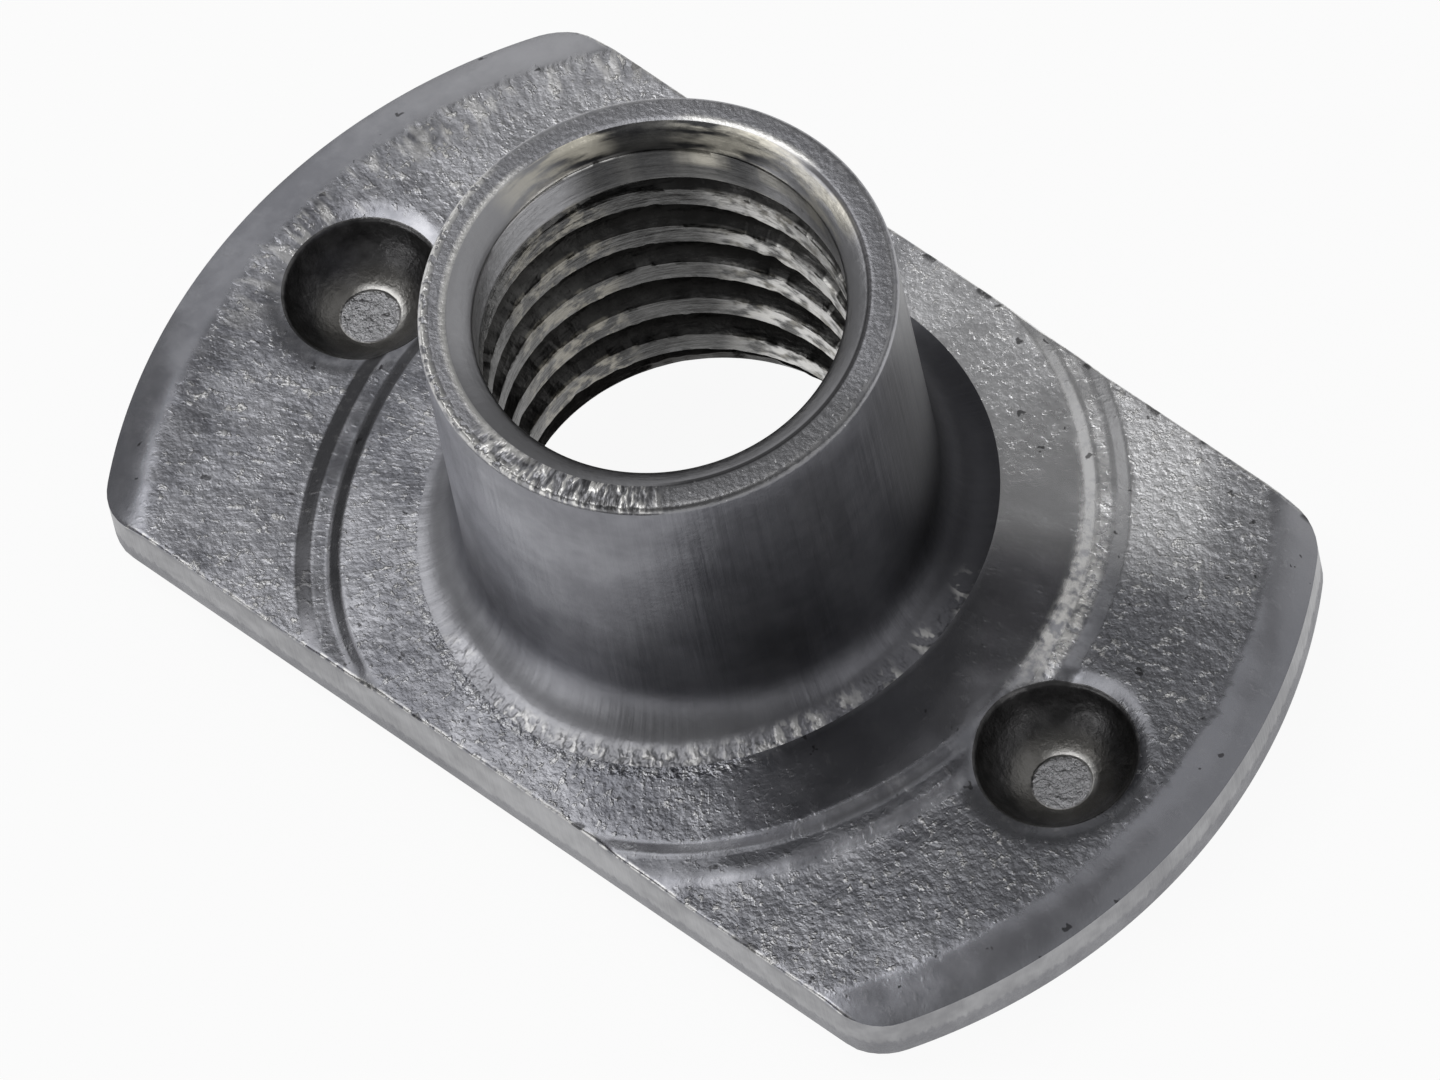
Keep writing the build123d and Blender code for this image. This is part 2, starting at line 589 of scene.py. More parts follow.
def paint(colour, tint, share):
    """A tint laid over a colour, as strongly as share says."""
    return Wire(node(share.tree, "Mix", {0: share, 6: colour, 7: tint}, data_type="RGBA").outputs[2])


def noise_node(vector, scale, detail=2.0, roughness=0.5):
    inputs = {"Vector": vector, "Scale": scale, "Detail": detail, "Roughness": roughness}
    return Wire(node(vector.tree, "TexNoise", inputs).outputs["Fac"])


def sector(direction, degrees, half, soft):
    """1 within half degrees of a direction round the axis, fading to 0 over soft degrees."""
    middle = (math.cos(math.radians(degrees)), math.sin(math.radians(degrees)), 0)
    along = vector_node("DOT_PRODUCT", direction, middle)
    return ramp(along, math.cos(math.radians(min(half + soft, 180))), math.cos(math.radians(half)))


def group(name, inputs, outputs):
    """An empty node group from each socket's kind and name: its tree, its inputs as wires, its output sockets."""
    tree = bpy.data.node_groups.new(name, "ShaderNodeTree")
    for side, sockets in (("INPUT", inputs), ("OUTPUT", outputs)):
        for socket in filter(None, sockets.split(", ")):
            kind, label = socket.split(" ", 1)
            tree.interface.new_socket(label, in_out=side, socket_type="NodeSocket" + kind)
    given = tree.nodes.new("NodeGroupInput").outputs
    return tree, {s.name: Wire(s) for s in given if s.name}, tree.nodes.new("NodeGroupOutput").inputs


def place(tree, name, **values):
    """Places a shared group in a material and feeds its inputs. What comes out goes by its name in small letters."""
    inputs = {label.replace("_", " "): value for label, value in values.items()}
    made = node(tree, "Group", inputs, node_tree=bpy.data.node_groups[name])
    return SimpleNamespace(**{s.name.lower().replace(" ", "_"): Wire(s) for s in made.outputs})


def make_place_on_nut():
    """Where a point is on the nut, in mm: its place, its direction from the axis, its radius and its height, its
    radius on the rings' scale, and its distance and direction from the nearer well's axis."""
    tree, _, out = group("place on nut", "", "Vector Place, Vector Direction, Float Radius, Float Height, "
                         "Float Ring Radius, Float From Well, Vector Well Direction")
    spot = vector_node("SCALE", Wire(node(tree, "TexCoord").outputs["Object"]), 1 / MM)
    flat = vector_node("MULTIPLY", spot, (1, 1, 0))
    x, _, height = split_xyz(spot)
    rings = node(tree, "Attribute", attribute_name="ring_radius")
    well = node(tree, "CombineXYZ", {0: math_node(tree, "SIGN", x) * projection_centre})
    from_well = vector_node("SUBTRACT", flat, Wire(well.outputs[0]))
    found = (spot, vector_node("NORMALIZE", flat), vector_node("LENGTH", flat), height, Wire(rings.outputs["Fac"]),
             vector_node("LENGTH", from_well), vector_node("NORMALIZE", from_well))
    for socket, value in zip(out, found):
        feed(socket, value)


def make_drawn_marks():
    """Short marks as a die leaves them: finer round the axis with Around, and changing as Along changes."""
    tree, given, out = group("drawn marks", "Vector Direction, Float Along, Float Around, Float Detail",
                             "Float Marks")
    turned = vector_node("SCALE", given["Direction"], given["Around"])
    lift = node(tree, "CombineXYZ", {2: given["Along"]})
    feed(out["Marks"], noise_node(vector_node("ADD", turned, Wire(lift.outputs[0])), 1.0, given["Detail"]))


def make_steel_tone():
    """Bare steel's colour: a slow cloudy change between dark and light, and finer mottling over it."""
    _, given, out = group("steel tone", "Vector Place, Color Light, Color Dark, Float Cloud Size, "
                          "Float Mottle Size", "Color Colour")
    cloud = noise_node(given["Place"], 1.0 / given["Cloud Size"], 2.0, 0.55)
    mottle = noise_node(given["Place"], 1.0 / given["Mottle Size"], 2.0, 0.6)
    amount = ramp(cloud * 0.6 + mottle * 0.4, 0.34, 0.66)
    feed(out["Colour"], paint(given["Dark"], given["Light"], amount))


def make_pits():
    """Scattered small ragged pits or specks: 1 in one, 0 outside. Share is how many of the places have one."""
    tree, given, out = group("pits", "Vector Place, Float Spacing, Float Size, Float Share", "Float Pits")
    shaken = node(tree, "TexNoise", {"Vector": given["Place"], "Scale": 9.0, "Detail": 0.0})
    moved = vector_node("SCALE", vector_node("SUBTRACT", Wire(shaken.outputs["Color"]), (0.5, 0.5, 0.5)), 0.22)
    cells = node(tree, "TexVoronoi", {"Vector": vector_node("ADD", given["Place"], moved),
                                      "Scale": 1.0 / given["Spacing"]})
    drawn = node(tree, "SeparateColor", {0: Wire(cells.outputs["Color"])})
    chosen = math_node(tree, "LESS_THAN", Wire(drawn.outputs[0]), given["Share"])
    reach = given["Size"] * Wire(drawn.outputs[1])
    feed(out["Pits"], chosen * ramp(Wire(cells.outputs["Distance"]), reach, reach * 0.6))


def make_edge_highlight():
    """A thin broken line where an edge stands proud, for a painted highlight along it: 1 on the line, 0 away from it.
    """
    tree, given, out = group("worn line", "Float Value, Float At, Float Width, Float Breaks, Float Share",
                             "Float Line")
    away = math_node(tree, "ABSOLUTE", given["Value"] - given["At"])
    near = math_node(tree, "SUBTRACT", 1.0, away / given["Width"], clamp=True)
    whole = ramp(given["Breaks"] - (1.0 - given["Share"]), -0.08, 0.08)
    feed(out["Line"], near * whole)


for make in (make_place_on_nut, make_drawn_marks, make_steel_tone, make_pits, make_edge_highlight):
    make()


def marks(at, along, around, detail):
    return place(along.tree, "drawn marks", Direction=at.direction, Along=along, Around=around, Detail=detail).marks


def steel_tone(at, light, dark, cloud_size, mottle_size):
    return place(at.place.tree, "steel tone", Place=at.place, Light=light, Dark=dark, Cloud_Size=cloud_size,
                 Mottle_Size=mottle_size).colour


def pits(at, spacing, size, share):
    return place(at.place.tree, "pits", Place=at.place, Spacing=spacing, Size=size, Share=share).pits


def edge_highlight(value, middle, width, breaks, share):
    return place(value.tree, "worn line", Value=value, At=middle, Width=width, Breaks=breaks, Share=share).line


def new_finish(name):
    """A new material, and where a point is on the nut: what the group place on nut gives."""
    material = bpy.data.materials.new(name)
    material.use_nodes = True
    return material, place(material.node_tree, "place on nut")


def finish(material, colour, roughness, relief, relief_mm):
    """Closes a finish: a metal shader with its colour, roughness and relief. relief_mm is how deep 1 of relief is."""
    bump = node(material.node_tree, "Bump", {"Distance": relief_mm * MM, "Height": relief})
    shader = material.node_tree.nodes["Principled BSDF"].inputs
    shader["Metallic"].default_value = 1.0
    feed(shader["Base Color"], colour)
    feed(shader["Roughness"], roughness)
    feed(shader["Normal"], Wire(bump.outputs["Normal"]))
    return material


# ---- finishes: one each
# Sectors are in degrees round from +X: 0 is the right end, 90 the far side, 180 the left end and -90 the near side.

steel_light = (0.355, 0.358, 0.388, 1)
steel_dark = (0.218, 0.22, 0.244, 1)
steel_bright = (0.62, 0.62, 0.63, 1)
steel_shine = (0.82, 0.81, 0.79, 1)
steel_warm = (0.80, 0.76, 0.65, 1)
steel_black = (0.035, 0.034, 0.036, 1)
# painted shade: a dark grey laid on sides that face away from the light
painted_shade_grey = (0.12, 0.12, 0.13, 1)
pressed_light = (0.43, 0.433, 0.462, 1)
pressed_dark = (0.20, 0.203, 0.225, 1)
step_shade = (0.07, 0.07, 0.075, 1)
right_shade_grey = (0.14, 0.142, 0.153, 1)
front_shade_grey = (0.16, 0.162, 0.175, 1)
end_grey = (0.36, 0.365, 0.40, 1)
back_sheen = (0.66, 0.66, 0.68, 1)
far_sheen_pale = (0.85, 0.85, 0.86, 1)
stain_dark = (0.10, 0.10, 0.11, 1)
collar_shade = (0.035, 0.035, 0.04, 1)
smooth_grey = (0.33, 0.33, 0.345, 1)
land_shade_grey = (0.16, 0.16, 0.165, 1)
bore_light = (0.15, 0.148, 0.145, 1)
bore_dark = (0.06, 0.059, 0.058, 1)
bore_shade = (0.03, 0.03, 0.03, 1)
entry_dark = (0.012, 0.012, 0.012, 1)
entry_light = (0.09, 0.088, 0.082, 1)
root_shade = (0.05, 0.048, 0.046, 1)
crest_dull = (0.36, 0.34, 0.29, 1)
entry_sheen = (0.55, 0.55, 0.57, 1)
sheared_light = (0.37, 0.37, 0.38, 1)
sheared_dark = (0.24, 0.24, 0.25, 1)
well_light = (0.17, 0.168, 0.17, 1)
well_dark = (0.07, 0.069, 0.07, 1)
well_reflection = (0.30, 0.29, 0.265, 1)
well_floor = (0.56, 0.56, 0.58, 1)


def pressed_steel():
    """The plate's upper face: patchy grain with short strokes away from the axis, smooth on the rings and ends."""
    material, at = new_finish("pressed_steel")
    way, ring = at.direction, at.ring_radius

    strokes = marks(at, at.radius * 1.7, around=62.0, detail=2.5)
    cuts = marks(at, at.radius * 1.2, around=40.0, detail=1.5)
    grain = noise_node(at.place, 6.0, 3.0)
    fine = noise_node(at.place, 14.0, 1.0)
    swell = noise_node(at.place, 0.8, 1.0)
    patches = ramp(noise_node(at.place, 0.55, 2.0, 0.6), 0.4, 0.62, 0.45, 1.0)
    spots = noise_node(vector_node("ADD", at.place, (7.3, 2.1, 0)), 7.0, 2.0, 0.6)
    specks = ramp(blend(0.4, spots, strokes), 0.54, 0.66)
    small_pits = pits(at, spacing=0.36, size=0.26, share=0.35)

    # the end rolls start in a ragged line, with cut marks beside the left one
    from_axis = at.radius + (strokes - 0.5) * 0.7
    ends = ramp(from_axis, roll_start - 0.1, roll_start + 0.12)
    inboard = 1.0 - ends
    chatter = ramp(at.radius, plate_radius - 1.9, plate_radius - 1.3) * inboard * sector(way, 150, 28, 20)

    # the rings: the channel between their steps, the two steps, and the flat on the collar's side
    band = ring_span(ring, 0.05, 0.2, 0.6, 0.75)
    inner_step = ring_span(ring, -0.04, 0.02, 0.24, 0.30)
    outer_step = ring_span(ring, 0.52, 0.58, 0.82, 0.90)
    collar_side = ramp(ring, ring_radius + 0.1, ring_radius - 0.1)
    torn = ramp(ring, cove_edge_radius + 0.35, cove_edge_radius + 0.1) * sector(way, -85, 30, 18)
    # a painted highlight along the cove's torn edge
    torn_edge_highlight = edge_highlight(ring, cove_edge_radius + 0.12, 0.09, strokes, 0.5) * sector(way, -90, 38, 22)

    # how rough the face is
    calm_side = collar_side * sector(way, 5, 35, 30)
    calm_well = ramp(at.from_well, 2.1, 1.75)
    calm = most(band * 0.75, calm_side * 0.93, ends * 0.92, calm_well * 0.75, most(inner_step, outer_step) * 0.85)
    rough = (1.0 - calm) * patches * (chatter * 2.2 + 1.2)

    # painted shade on the annulus's right side, and painted shade on the steps
    colour = steel_tone(at, pressed_light, pressed_dark, cloud_size=1.7, mottle_size=0.3)
    colour = paint(colour, painted_shade_grey, collar_side * sector(way, 8, 32, 28) * 0.9)
    left, right = sector(way, -170, 38, 14), sector(way, 28, 68, 20)
    inner_dark = blend(left, blend(right, 0.55, 0.0), 0.85)
    outer_dark = blend(left, blend(right, 0.0, 0.12), 1.0)
    colour = paint(colour, step_shade, inner_step * inner_dark + outer_step * outer_dark)
    # painted shade on the plate's right side, away from the light
    colour = paint(colour, right_shade_grey, sector(way, 18, 28, 20) * ramp(at.radius, 7.2, 7.8) * 0.8)
    # painted highlight on the rings' ridge at the right, where it faces the light
    ridge_highlight = ring_span(ring, -0.15, 0.05, 0.4, 0.62) * sector(way, 48, 32, 14) * ramp(grain, 0.3, 0.6)
    colour = paint(colour, steel_shine, ridge_highlight * 0.9)

    # broad tones: painted shade in front, the end rolls' own grey, and a painted sheen on the far side and on the far
    # ring
    colour = paint(colour, front_shade_grey, sector(way, -65, 40, 40) * (band * 0.6 + 0.13))
    colour = paint(colour, end_grey, ends * 0.6)
    colour = paint(colour, back_sheen, sector(way, 98, 45, 35) * 0.45)
    far_ring_sheen = sector(way, 62, 22, 16) * ramp(ring, roll_start - 0.6, roll_start - 1.6)
    colour = paint(colour, far_sheen_pale, far_ring_sheen * 0.6)
    stain = ramp(from_axis, plate_radius - 1.75, plate_radius - 1.3) * inboard * sector(way, -168, 17, 10)
    colour = paint(colour, stain_dark, stain * ramp(swell, 0.42, 0.56) * 0.45)

    # the burr, painted bright as a highlight, and the notches along the straight sides
    off_centre = math_node(material.node_tree, "ABSOLUTE", split_xyz(at.place)[1] - strip_offset)
    burr_highlight = ramp(off_centre, half_width - 0.09, half_width - 0.03) * ramp(grain, 0.42, 0.58)
    nicked = ramp(noise_node(at.place, 2.4, 1.0), 0.62, 0.68)
    notches = ramp(off_centre, half_width - 0.16, half_width - 0.08) * nicked
    colour = paint(colour, steel_shine, burr_highlight * 0.6)
    colour = paint(colour, steel_black, most(small_pits, notches) * 0.75)

    # painted highlights on specks, on the cove's torn edge and on the chatter's cuts, and the chatter's dark strokes
    colour = paint(colour, steel_shine, specks * rough * 0.5)
    colour = paint(colour, steel_bright, torn_edge_highlight * 0.8)
    colour = paint(colour, steel_shine, chatter * ramp(cuts, 0.5, 0.62, 0.0, 0.45))
    colour = paint(colour, steel_dark, chatter * ramp(cuts, 0.46, 0.36, 0.0, 0.4))

    # relief is taken about zero before a mask weakens it, so that the mask's edge leaves no step
    combed = sector(way, -172, 30, 20) * 0.35
    relief = blend(most(combed, 0.1), grain, strokes)
    relief = blend(chatter * 0.9, relief, cuts) + fine * 0.3 - 0.65
    relief = relief * most(rough, torn * 3.2)
    lip = ends * sector(way, 150, 30, 16)
    relief = relief - lip * 0.5 + specks * (rough * 0.45) + swell * 1.6
    return finish(material, colour, rough * (grain * 0.34) + 0.23, relief, relief_mm=0.028)


def drawn_steel():
    """The collar and its cove: smooth, with faint upright draw lines, torn at the cove's foot. The rim's land carries
    chatter marks on one side."""
    material, at = new_finish("drawn_steel")
    way = at.direction
    lines = marks(at, at.height * 0.3, around=26.0, detail=3.0)
    chatter = marks(at, at.radius * 3.5, around=36.0, detail=1.5)
    chunks = marks(at, at.radius * 4.0, around=27.0, detail=2.0)
    grain = noise_node(at.place, 9.0, 3.0, 0.6)
    land = ramp(at.height, rim - 0.16, rim - 0.08)
    below_land = 1.0 - land

    # the collar's shaded sides
    colour = steel_tone(at, steel_light, steel_dark, cloud_size=1.8, mottle_size=0.5)
    colour = paint(colour, painted_shade_grey, sector(way, 0, 60, 40) * below_land * 0.5)
    colour = paint(colour, collar_shade, sector(way, 48, 20, 28) * below_land * 0.85)

    # the rim's land: grey, painted darker as shade on one side with glints painted on it, and cut by chatter marks in
    # front
    colour = paint(colour, smooth_grey, land * 0.6)
    shade_side = sector(way, -28, 30, 18)
    colour = paint(colour, land_shade_grey, land * (shade_side * 0.7))
    specks = pits(at, spacing=0.2, size=0.3, share=0.35)
    colour = paint(colour, steel_bright, specks * (shade_side * land))
    cut = land * sector(way, -76, 17, 14)
    colour = paint(colour, steel_black, cut * (ramp(chatter, 0.46, 0.34) * 0.7))
    colour = paint(colour, steel_shine, cut * (ramp(chatter, 0.5, 0.62) * 0.9))

    # painted highlights in broken lines at the land's two edges, and a painted dark line at the bore's mouth that
    # covers the edge's highlight
    beads = noise_node(at.place, 7.5, 1.0)
    outer_line = edge_highlight(at.radius, rim_radius - 0.08, 0.12, beads, 0.56)
    outer_line = outer_line * blend(sector(way, -135, 42, 12), 0.12, 1.0)
    inner_line = edge_highlight(at.radius, countersink_radius + 0.07, 0.1, beads, 0.85)
    inner_line = inner_line * most(sector(way, -138, 45, 12), sector(way, 104, 14, 10))
    colour = paint(colour, steel_shine, land * most(outer_line, inner_line))
    mouth_shade_line = ramp(at.radius, countersink_radius + 0.07, countersink_radius + 0.03) * sector(way, 20, 60, 14)
    colour = paint(colour, steel_black, mouth_shade_line * 0.85)

    # torn metal at the cove's foot, in clusters of chips with painted highlights
    foot = ramp(at.ring_radius, cove_edge_radius - 0.45, cove_edge_radius - 0.15)
    torn = foot * most(sector(way, -78, 24, 16), sector(way, -14, 26, 12))
    chips = torn * ramp(noise_node(at.place, 1.1, 1.0), 0.36, 0.5) * ramp(chunks, 0.48, 0.58)
    colour = paint(colour, steel_shine, chips * 0.6)
    # painted sheen low on the cove's near side
    cove_front_sheen = ramp(at.height, cove_top - 0.3, cove_edge + 0.1) * sector(way, -95, 40, 30)
    colour = paint(colour, steel_bright, cove_front_sheen * 0.2)

    relief = lines * blend(land, 0.22, 0.03) + grain * blend(land, 0.06, 0.14)
    relief = blend(cut, relief, chatter * 1.2)
    relief = blend(torn, relief, chunks * 1.2) + outer_line * land * 0.4
    gloss = lines * 0.12 + 0.27 + ramp(at.height, cove_top + 0.2, cove_top - 0.5, 0.0, 0.1)
    return finish(material, colour, gloss, relief, relief_mm=0.07)


def threaded_steel():
    """The tapped bore: flat torn crests, roots painted dark as shade, and a smooth entry with a worn countersink."""
    material, at = new_finish("threaded_steel")
    way = at.direction
    lines = marks(at, at.height * 11.0, around=2.5, detail=3.0)
    torn = marks(at, at.height * 3.5, around=9.0, detail=3.0)
    streaks = marks(at, at.radius * 7.0, around=3.5, detail=4.0)
    grain = noise_node(at.place, 9.0, 3.0, 0.6)
    blotches = noise_node(at.place, 3.2, 3.0, 0.6)
    entry = ramp(at.height, rim - 1.35, rim - 1.15)
    thread = 1.0 - entry
    root = thread * ramp(at.radius, crest_radius + 0.03, crest_radius + groove_depth * 0.6)
    crest = thread * ramp(at.radius, crest_radius + 0.07, crest_radius + 0.03)

    # the thread's walls in a dark tone that stands in for the shade inside the bore, painted shade on the far side,
    # and the entry with its shaded far side
    colour = steel_tone(at, bore_light, bore_dark, cloud_size=1.2, mottle_size=0.3)
    colour = paint(colour, bore_shade, sector(way, 132, 24, 24) * 0.5)
    shade = paint(entry_dark, entry_light, ramp(streaks, 0.35, 0.65))
    entry_colour = paint(smooth_grey, shade, sector(way, 128, 22, 16) * 0.9)
    colour = paint(colour, entry_colour, entry)
    # painted shade in the thread's roots
    colour = paint(colour, root_shade, root * 0.75)

    # the crests: dull patches on two sides, and torn ones on the right painted bright as highlights
    right = sector(way, 66, 34, 26)
    dull = most(sector(way, 172, 12, 12), right * 0.8) * ramp(blotches, 0.42, 0.62)
    colour = paint(colour, crest_dull, crest * (dull * 0.65))
    colour = paint(colour, steel_shine, crest * (right * ramp(torn, 0.38, 0.58) * 0.75))

    # the mouth: warm worn patches at the left and at the back, a painted sheen on the left side, a painted highlight
    # along the countersink's lower edge and a painted dark line at its upper edge that covers the edge's highlight
    countersink = ramp(at.height, rim - 0.30, rim - 0.27)
    warm = sector(way, 163, 10, 12) * countersink * ramp(streaks, 0.36, 0.58)
    mouth = ramp(at.height, rim - 0.85, rim - 0.65)
    worn_entry = sector(way, 92, 24, 14) * mouth * ramp(streaks, 0.38, 0.62, 0.0, 0.6)
    colour = paint(colour, steel_warm, most(warm, worn_entry))
    pale = sector(way, -160, 22, 22) * ramp(at.height, rim - 0.9, rim - 0.3)
    colour = paint(colour, entry_sheen, pale * 0.45)
    lower_line = edge_highlight(at.height, rim - 0.29, 0.06, blotches, 0.6)
    colour = paint(colour, steel_shine, lower_line * sector(way, 163, 14, 12))
    upper_shade_line = ramp(at.radius, countersink_radius - 0.06, countersink_radius - 0.02) * sector(way, 20, 60, 14)
    colour = paint(colour, steel_black, upper_shade_line * 0.85)

    relief = (lines * 0.4 + grain * 0.2 + torn * 0.5) * (1.0 - entry * 0.65)
    return finish(material, colour, grain * 0.2 + 0.25, relief, relief_mm=0.06)


def sheared_steel():
    """The plate's cut edge: upright shear lines above, a duller torn zone below."""
    material, at = new_finish("sheared_steel")
    lines = noise_node(vector_node("MULTIPLY", at.place, (9.0, 9.0, 0.7)), 1.0, 3.0, 0.55)
    grain = noise_node(at.place, 11.0, 3.0, 0.65)
    torn = ramp(at.height + lines * 0.35, underside + 0.62, underside + 0.5)
    colour = steel_tone(at, sheared_light, sheared_dark, cloud_size=2.5, mottle_size=0.4)
    colour = paint(colour, steel_dark, torn * 0.35)
    return finish(material, colour, torn * 0.15 + 0.38, blend(torn, lines * 0.5, grain), relief_mm=0.04)


def punched_steel():
    """A punched well: a wall painted dark as the well's shade, a painted reflection low on the wall, a painted
    highlight at the floor's far edge, and a grainy floor painted brighter.
    """
    material, at = new_finish("punched_steel")
    depth = plate_top - at.height
    grain = noise_node(at.place, 6.0, 4.0, 0.65)
    on_floor = ramp(depth, 1.03, 1.048)
    halo = ramp(depth, 0.7, 0.95) * (1.0 - on_floor)
    crescent = ramp(at.from_well, 0.70, 0.56) * ramp(at.from_well, 0.44, 0.5) * sector(at.well_direction, 85, 45, 40)
    # painted shade: the wall's dark tone stands in for the well's shade
    colour = steel_tone(at, well_light, well_dark, cloud_size=0.9, mottle_size=0.3)
    # a painted reflection of the floor low on the wall, and a painted highlight at the floor's far edge
    colour = paint(colour, well_reflection, halo * 0.4)
    colour = paint(colour, steel_shine, crescent * 0.6)
    colour = paint(colour, well_floor, on_floor * 0.9)
    colour = paint(colour, steel_black, pits(at, spacing=0.2, size=0.4, share=0.5) * on_floor * 0.7)
    return finish(material, colour, grain * 0.2 + 0.24, grain * blend(on_floor, 0.25, 1.3), relief_mm=0.08)


def underside_steel():
    """The plate's lower face: rolled sheet with a fine grain along the strip."""
    material, at = new_finish("underside_steel")
    rolled = noise_node(vector_node("MULTIPLY", at.place, (1.2, 12.0, 12.0)), 1.0, 3.0, 0.55)
    grain = noise_node(at.place, 8.0, 3.0, 0.6)
    colour = steel_tone(at, steel_light, steel_dark, cloud_size=3.5, mottle_size=0.4)
    colour = paint(colour, steel_black, pits(at, spacing=0.5, size=0.16, share=0.4) * 0.7)
    return finish(material, colour, grain * 0.16 + 0.32, rolled * 0.5 + grain * 0.3, relief_mm=0.04)


# ---- the nut takes its finishes

at_ring = mesh.attributes.new("ring_radius", "FLOAT", "POINT")
at_ring.data.foreach_set("value", true_radius(points[:, 0], points[:, 1]))
for make in (pressed_steel, drawn_steel, threaded_steel, sheared_steel, punched_steel, underside_steel):
    mesh.materials.append(make())
mesh.polygons.foreach_set("material_index", [mesh.materials.find(f + "_steel") for _, f in faces])
mesh.polygons.foreach_set("use_smooth", [True] * len(faces))
mesh.update()

# every face of the closed skin is made to look outward
skin_mesh = bmesh.new()
skin_mesh.from_mesh(mesh)
bmesh.ops.recalc_face_normals(skin_mesh, faces=skin_mesh.faces)
skin_mesh.to_mesh(mesh)
skin_mesh.free()
mesh.set_sharp_from_angle(angle=sharp_angle)

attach(nut, "root")
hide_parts("weld_nut")


# ---- floor, light tent and lamps, in metres

tent_radius = 2.0
tent_rise = (0.3, 1.3)          # the cloth changes from its low level to its high one between these heights
tent_level = (0.26, 0.16)
floor_paper = (0.9, 0.9, 0.9, 1)
floor_glow = 0.93               # share of the floor's look that is plain white, the rest takes shadow
world_low, world_more = 0.35, 0.65      # the world's level, and what it gains where it is seen directly
lamp_distance = 1.2
lamps = (   # name, direction (azimuth round the axis from +X, height above the floor), size, level
    ("lamp_main", (197, 62), 0.84, 1.85),
    ("lamp_zenith", (235, 82), 0.26, 2.2),
    ("lamp_front_left", (257, 15), 0.6, 1.2),
    ("lamp_back_left", (149, 26), 0.76, 0.38),
    ("lamp_right", (0, 12), 0.45, 1.0),
    ("lamp_fill", (34, 49), 0.8, 0.36),
    ("lamp_back_top", (84, 68), 0.4, 0.5),
    ("lamp_front_top", (308, 75), 0.42, 0.45),
    ("lamp_back", (82, 35), 0.7, 0.42),
)


def revolved(name, profile, count=96):
    """A surface of revolution about the nut's axis, from (radius, height) pairs in metres."""
    data = bpy.data.meshes.new(name)
    turns = [2 * math.pi * c / count for c in range(count)]
    verts = [(radius * math.cos(a), radius * math.sin(a), height) for radius, height in profile for a in turns]
    quads = [(k + c, k + count + c, k + count + (c + 1) % count, k + (c + 1) % count)
             for k in range(0, (len(profile) - 1) * count, count) for c in range(count)]
    data.from_pydata(verts, [], quads)
    data.polygons.foreach_set("use_smooth", [True] * len(quads))
    made = bpy.data.objects.new(name, data)
    bpy.context.scene.collection.objects.link(made)
    return made


def seen_directly(tree):
    """1 for rays from the camera, off a glossy surface or through a clear one."""
    path = node(tree, "LightPath").outputs
    return most(*(Wire(path[f"Is {kind} Ray"]) for kind in ("Camera", "Glossy", "Transmission")))


def stage_material(name):
    """A material with no nodes yet, and the socket of its surface."""
    material = bpy.data.materials.new(name)
    material.use_nodes = True
    material.node_tree.nodes.clear()
    return material, node(material.node_tree, "OutputMaterial").inputs["Surface"]


def mix_shaders(*share_and_two):
    return Wire(node(share_and_two[0].tree, "MixShader", dict(enumerate(share_and_two))).outputs[0])


def paper_white():
    """White floor paper: it shows nearly white, keeps the nut's soft shadow, and can be looked through from below."""
    material, surface = stage_material("floor_paper")
    tree = material.node_tree
    diffuse = node(tree, "BsdfDiffuse", {"Color": floor_paper})
    glow = node(tree, "Emission", {"Strength": 1.0})
    shown = mix_shaders(seen_directly(tree) * floor_glow, Wire(diffuse.outputs[0]), Wire(glow.outputs[0]))
    from_below = Wire(node(tree, "NewGeometry").outputs["Backfacing"])
    feed(surface, mix_shaders(from_below, shown, Wire(node(tree, "BsdfTransparent").outputs[0])))
    return material


def tent_cloth():
    """The tent's cloth: pale near the floor, greyer overhead."""
    material, surface = stage_material("tent_cloth")
    height = split_xyz(Wire(node(material.node_tree, "TexCoord").outputs["Object"]))[2]
    glow = node(material.node_tree, "Emission", {"Strength": ramp(height, *tent_rise, *tent_level)})
    feed(surface, Wire(glow.outputs[0]))
    return material


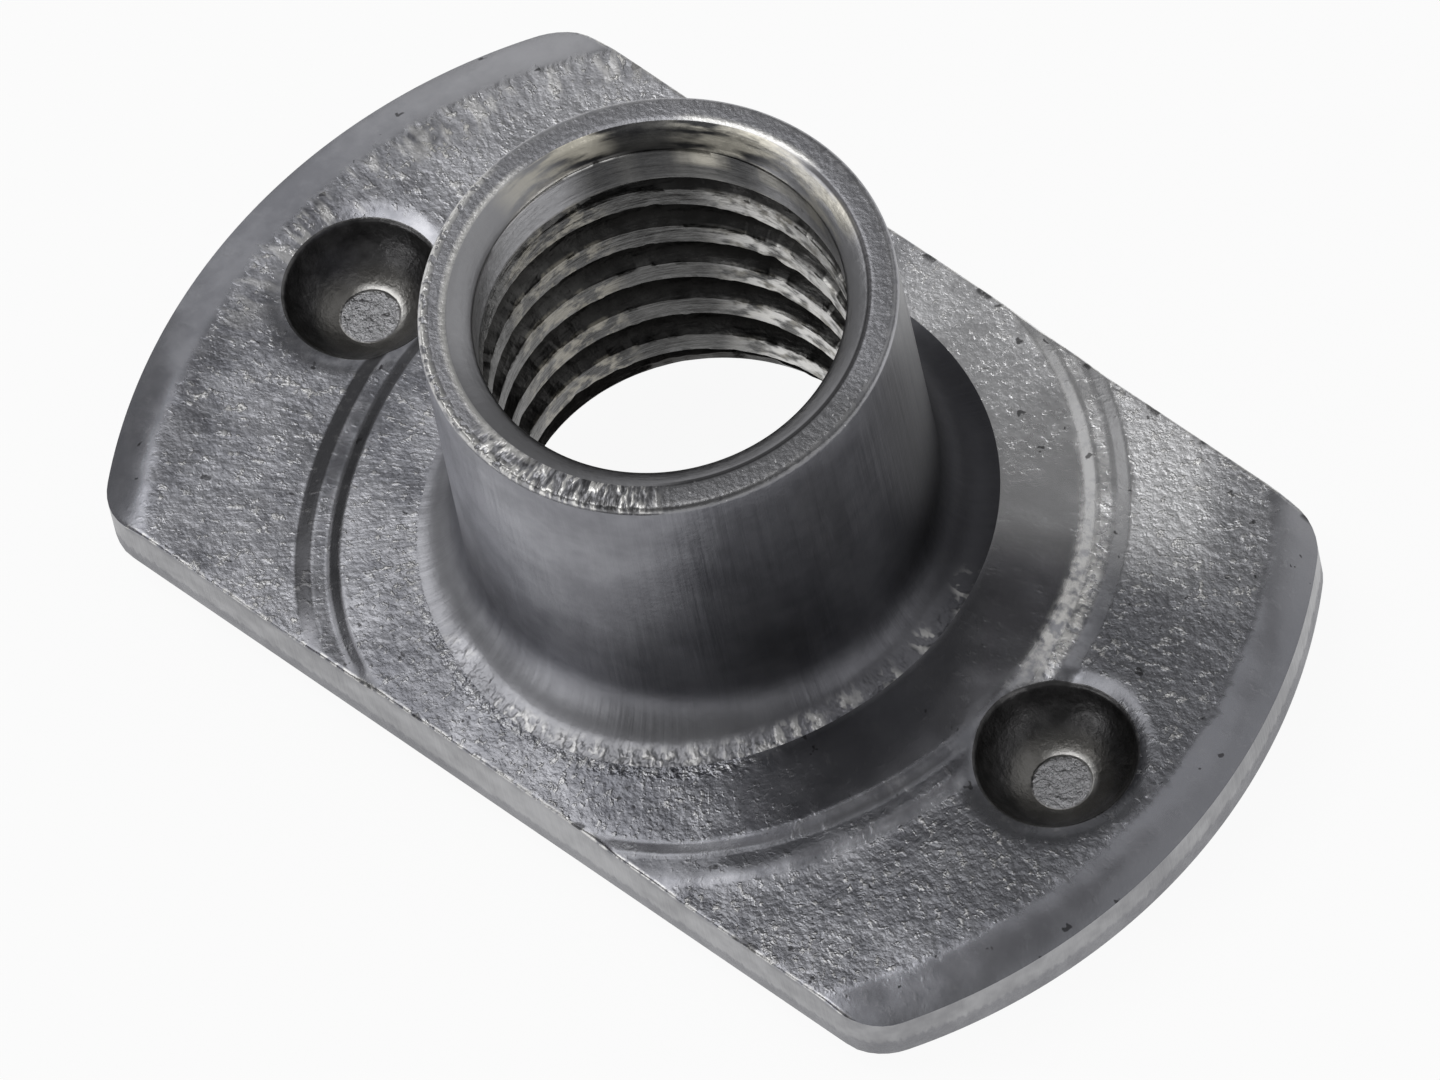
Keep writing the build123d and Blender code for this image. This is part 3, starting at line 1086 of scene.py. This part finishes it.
def softbox(name, direction, size, level):
    """A square lamp that faces the nut. Its power grows with its size, so that level is how bright it looks."""
    lamp = bpy.data.lights.new(name, "AREA")
    lamp.size = size
    lamp.energy = level * math.pi * size ** 2
    made = bpy.data.objects.new(name, lamp)
    azimuth, height = np.radians(direction)
    out = Vector((math.cos(azimuth) * math.cos(height), math.sin(azimuth) * math.cos(height), math.sin(height)))
    made.location = out * lamp_distance
    made.rotation_mode = "QUATERNION"
    made.rotation_quaternion = out.to_track_quat("Z", "Y")
    made.visible_camera = False
    bpy.context.scene.collection.objects.link(made)


floor = revolved("floor", [(0.00001, 0.0), (0.05, 0.0), (0.3, 0.0), (1.0, 0.0), (tent_radius, 0.0)])
floor.data.materials.append(paper_white())
tent_turns = np.radians((0, 6, 12, 18, 24, 30, 38, 46, 55, 65, 75, 84, 89.9))
tent = revolved("tent", [(tent_radius * math.cos(t), tent_radius * math.sin(t)) for t in tent_turns])
tent.data.materials.append(tent_cloth())
for lamp in lamps:
    softbox(*lamp)

world = bpy.data.worlds.new("studio")
bpy.context.scene.world = world
world.use_nodes = True
sky = world.node_tree.nodes["Background"].inputs
sky["Color"].default_value = (1, 1, 1, 1)
feed(sky["Strength"], seen_directly(world.node_tree) * world_more + world_low)

# ---- camera

# A long lens half a metre away, high over the nut's near long side and a little off level.
azimuth, height, roll = np.radians((51.405, 58.57, -12.957))
camera_distance = 500       # mm
aim_right, aim_down = 0.228, 0.389      # mm off the axis, at the plate's upper face

back = Vector((math.sin(azimuth) * math.cos(height), -math.cos(azimuth) * math.cos(height), math.sin(height)))
level_right = Vector((math.cos(azimuth), math.sin(azimuth), 0))
level_up = back.cross(level_right)
right = level_right * math.cos(roll) + level_up * math.sin(roll)
up = level_up * math.cos(roll) - level_right * math.sin(roll)
aim = Vector((0, 0, plate_top)) + right * aim_right - up * aim_down

lens = bpy.data.cameras.new("camera")
lens.sensor_width = 36
lens.lens = 699.9
lens.clip_start, lens.clip_end = 0.1, 1.4
camera = bpy.data.objects.new("camera", lens)
turned = Matrix((right, up, back)).transposed().to_4x4()
camera.matrix_world = Matrix.Translation((aim + back * camera_distance) * MM) @ turned
bpy.context.scene.collection.objects.link(camera)
bpy.context.scene.camera = camera
bpy.context.scene.view_settings.view_transform = "Standard"
